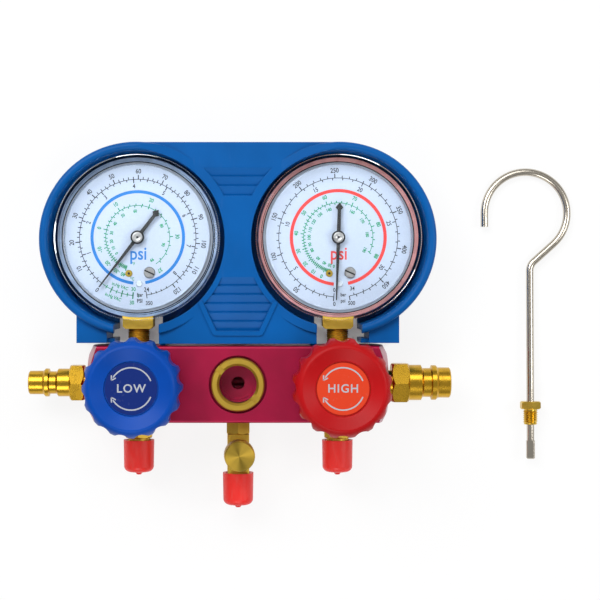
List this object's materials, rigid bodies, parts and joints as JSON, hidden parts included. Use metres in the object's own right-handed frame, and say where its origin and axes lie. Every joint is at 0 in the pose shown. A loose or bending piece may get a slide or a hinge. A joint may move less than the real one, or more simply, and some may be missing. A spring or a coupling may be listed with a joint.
{
  "type": "refrigerant manifold gauge",
  "caption": "Two-valve refrigerant manifold with low and high side dial gauges in a moulded cover, sight glass, capped flare ports, quick-coupler nipples and a hanging hook laid beside it.",
  "frame": {"origin": "middle of the manifold block's back face, which lies on the table", "axes": "+X runs along the block from the low-pressure side to the high-pressure side, +Y from the hose ports to the gauges, +Z out of the dials and knobs"},
  "size_m": [0.2538, 0.1678, 0.0617],
  "materials": {
    "cover_plastic": "satin moulded blue plastic",
    "anodised_block": "crimson anodised bar with bare turned ends",
    "steel": "plain machined steel",
    "seal_rubber": "black rubber",
    "glass": "clear polished glass",
    "lens_plastic": "clear moulded plastic",
    "cap_vinyl": "soft red vinyl",
    "blue_knob": "moulded blue plastic",
    "red_knob": "moulded red plastic",
    "blue_label": "printed foil disc",
    "red_label": "printed foil disc",
    "dark_case": "dark moulded plastic",
    "red_case": "red moulded plastic",
    "dial_white": "matt printed sheet",
    "pointer_black": "matt black",
    "seat_plastic": "white fluoropolymer",
    "nickel": "nickel plate",
    "brass": "turned brass"
  },
  "bodies": {
    "manifold": {"gallery_plug": "steel", "gauge_cover": "cover_plastic", "high_dial_fastenings": "steel", "high_gauge_bourdon_tube": "brass", "high_gauge_case": "red_case", "high_gauge_dial": "dial_white", "high_gauge_lens": "lens_plastic", "high_gauge_movement_frame": "brass", "high_gauge_socket": "brass", "high_hose_port": "brass", "high_side_nipple": "brass", "high_valve_bonnet": "brass", "high_valve_packing": "seal_rubber", "low_dial_fastenings": "steel", "low_gauge_bourdon_tube": "brass", "low_gauge_case": "dark_case", "low_gauge_dial": "dial_white", "low_gauge_lens": "lens_plastic", "low_gauge_movement_frame": "brass", "low_gauge_socket": "brass", "low_hose_port": "brass", "low_side_nipple": "brass", "low_valve_bonnet": "brass", "low_valve_packing": "seal_rubber", "manifold_block": "anodised_block", "service_tee": "brass", "service_valve_core": "brass", "sight_glass": "glass", "sight_glass_gasket": "seal_rubber", "sight_glass_ring": "brass"},
    "low_seat_carrier": {"low_valve_seat_disc": "seat_plastic"},
    "low_knob_group": {"low_valve_spindle": "steel", "low_valve_knob": "blue_knob", "low_knob_screw": "steel", "low_knob_label": "blue_label"},
    "high_seat_carrier": {"high_valve_seat_disc": "seat_plastic"},
    "high_knob_group": {"high_valve_spindle": "steel", "high_valve_knob": "red_knob", "high_knob_screw": "steel", "high_knob_label": "red_label"},
    "low_cap": {"low_dust_cap": "cap_vinyl"},
    "high_cap": {"high_dust_cap": "cap_vinyl"},
    "centre_cap": {"centre_dust_cap": "cap_vinyl"},
    "service_seal": {"service_cap_seal": "seal_rubber"},
    "service_cap_body": {"service_cap": "brass"},
    "core_pin": {"service_core_pin": "brass"},
    "low_pointer_group": {"low_gauge_pinion_arbor": "brass", "low_gauge_pointer": "pointer_black"},
    "low_sector": {"low_gauge_sector_gear": "brass"},
    "low_link": {"low_gauge_link": "brass"},
    "high_pointer_group": {"high_gauge_pinion_arbor": "brass", "high_gauge_pointer": "pointer_black"},
    "high_sector": {"high_gauge_sector_gear": "brass"},
    "high_link": {"high_gauge_link": "brass"},
    "hook": {"hook_rod": "nickel"},
    "hook_nut": {"hook_gland_nut": "brass"}
  },
  "joints": [
    {"name": "low_seat_lift", "type": "slide", "parent": "manifold", "child": "low_seat_carrier", "axis": [0, 0, 1], "range_m": [0, 0.00305]},
    {"name": "low_knob_turn", "type": "hinge", "parent": "low_seat_carrier", "child": "low_knob_group", "pos_m": [-0.046, 0, 0.05], "axis": [0, 0, 1], "range_deg": [0, 720]},
    {"name": "low_cap_pull", "type": "slide", "parent": "manifold", "child": "low_cap", "axis": [0, -1, 0], "range_m": [0, 0.04]},
    {"name": "high_seat_lift", "type": "slide", "parent": "manifold", "child": "high_seat_carrier", "axis": [0, 0, 1], "range_m": [0, 0.00305]},
    {"name": "high_knob_turn", "type": "hinge", "parent": "high_seat_carrier", "child": "high_knob_group", "pos_m": [0.046, 0, 0.05], "axis": [0, 0, 1], "range_deg": [0, 720]},
    {"name": "high_cap_pull", "type": "slide", "parent": "manifold", "child": "high_cap", "axis": [0, -1, 0], "range_m": [0, 0.04]},
    {"name": "centre_cap_pull", "type": "slide", "parent": "manifold", "child": "centre_cap", "axis": [0, -1, 0], "range_m": [0, 0.04]},
    {"name": "service_seal_lift", "type": "slide", "parent": "manifold", "child": "service_seal", "axis": [0.0471, 0, 0.9989], "range_m": [0, 0.0077]},
    {"name": "service_cap_turn", "type": "hinge", "parent": "service_seal", "child": "service_cap_body", "pos_m": [0, -0.032, 0.015], "axis": [0.0471, 0, 0.9989], "range_deg": [0, 2160]},
    {"name": "core_pin_press", "type": "slide", "parent": "manifold", "child": "core_pin", "axis": [-0.0471, 0, -0.9989], "range_m": [0, 0.001], "stiffness_N_per_m": 400},
    {"name": "low_pointer_turn", "type": "hinge", "parent": "manifold", "child": "low_pointer_group", "pos_m": [-0.046, 0.067, 0.02], "axis": [0, 0, 1], "range_deg": [-313.5, 33.1], "stiffness_Nm_per_rad": 0.00002},
    {"name": "low_sector_turn", "type": "hinge", "parent": "manifold", "child": "low_sector", "pos_m": [-0.046, 0.049, 0.016], "axis": [0, 0, 1], "range_deg": [-4.44, 39.49]},
    {"name": "low_link_swing", "type": "hinge", "parent": "low_sector", "child": "low_link", "pos_m": [-0.04738, 0.04461, 0.0149], "axis": [0, 0, 1], "range_deg": [-39.49, 4.44]},
    {"name": "high_pointer_turn", "type": "hinge", "parent": "manifold", "child": "high_pointer_group", "pos_m": [0.046, 0.067, 0.02], "axis": [0, 0, 1], "range_deg": [-347, 0], "stiffness_Nm_per_rad": 0.00002},
    {"name": "high_sector_turn", "type": "hinge", "parent": "manifold", "child": "high_sector", "pos_m": [0.046, 0.049, 0.016], "axis": [0, 0, 1], "range_deg": [-0.3, 43.67]},
    {"name": "high_link_swing", "type": "hinge", "parent": "high_sector", "child": "high_link", "pos_m": [0.0443, 0.04473, 0.0149], "axis": [0, 0, 1], "range_deg": [-43.67, 0.3]},
    {"name": "hook_lift", "type": "slide", "parent": "manifold", "child": "hook", "axis": [0, 0, 1], "range_m": [0, 0.1]},
    {"name": "hook_nut_slide", "type": "slide", "parent": "hook", "child": "hook_nut", "axis": [0, 0.9997, -0.0247], "range_m": [-0.0072, 0.06]}
  ],
  "couplings": [
    {"joint": "low_seat_lift", "follows": "low_knob_turn", "m_per_rad": 0.00023873},
    {"joint": "high_seat_lift", "follows": "high_knob_turn", "m_per_rad": 0.00023873},
    {"joint": "service_seal_lift", "follows": "service_cap_turn", "m_per_rad": 0.00020213},
    {"joint": "low_sector_turn", "follows": "low_pointer_turn", "ratio": -0.125},
    {"joint": "low_link_swing", "follows": "low_pointer_turn", "ratio": 0.125},
    {"joint": "high_sector_turn", "follows": "high_pointer_turn", "ratio": -0.125},
    {"joint": "high_link_swing", "follows": "high_pointer_turn", "ratio": 0.125}
  ]
}
